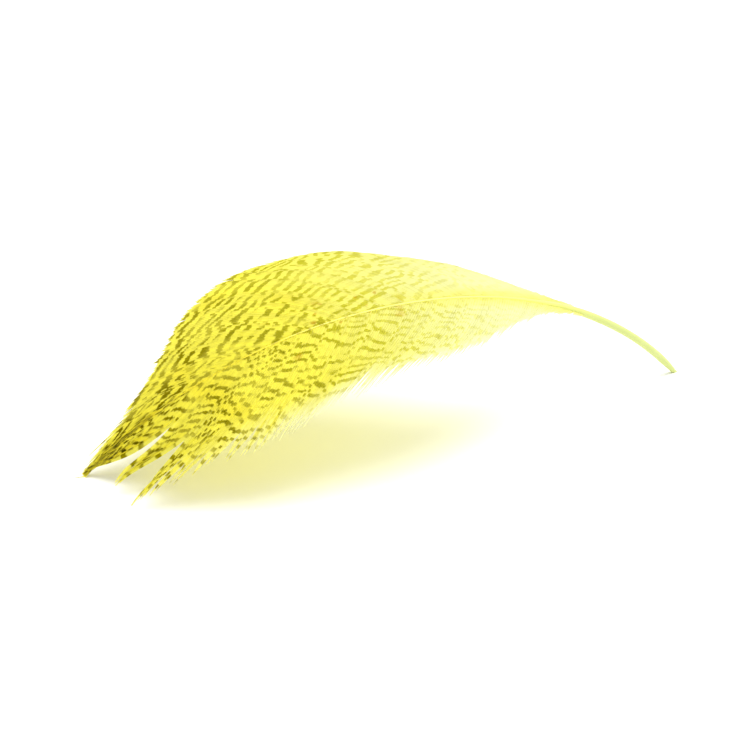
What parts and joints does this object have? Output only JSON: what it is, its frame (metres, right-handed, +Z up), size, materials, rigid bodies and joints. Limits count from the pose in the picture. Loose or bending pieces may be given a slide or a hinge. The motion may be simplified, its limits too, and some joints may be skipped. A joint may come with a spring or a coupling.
{
  "type": "duck flank feather",
  "caption": "Arched duck flank feather with a bare quill, two barred webs dyed lemon yellow, and a tip parted into locks.",
  "frame": {"origin": "middle of the whole feather's box, on the surface that the feather lies on", "axes": "+X towards the quill's end, -X towards the tip, +Z up through the outer face, +Y towards the far vane"},
  "size_m": [0.0718, 0.0295, 0.0167],
  "materials": {
    "shaft": "smooth satin dyed keratin",
    "web": "soft matt dyed barbs with fine olive bars"
  },
  "bodies": {
    "root": {"shaft": "shaft", "far_vane": "web", "near_vane": "web"}
  },
  "joints": []
}
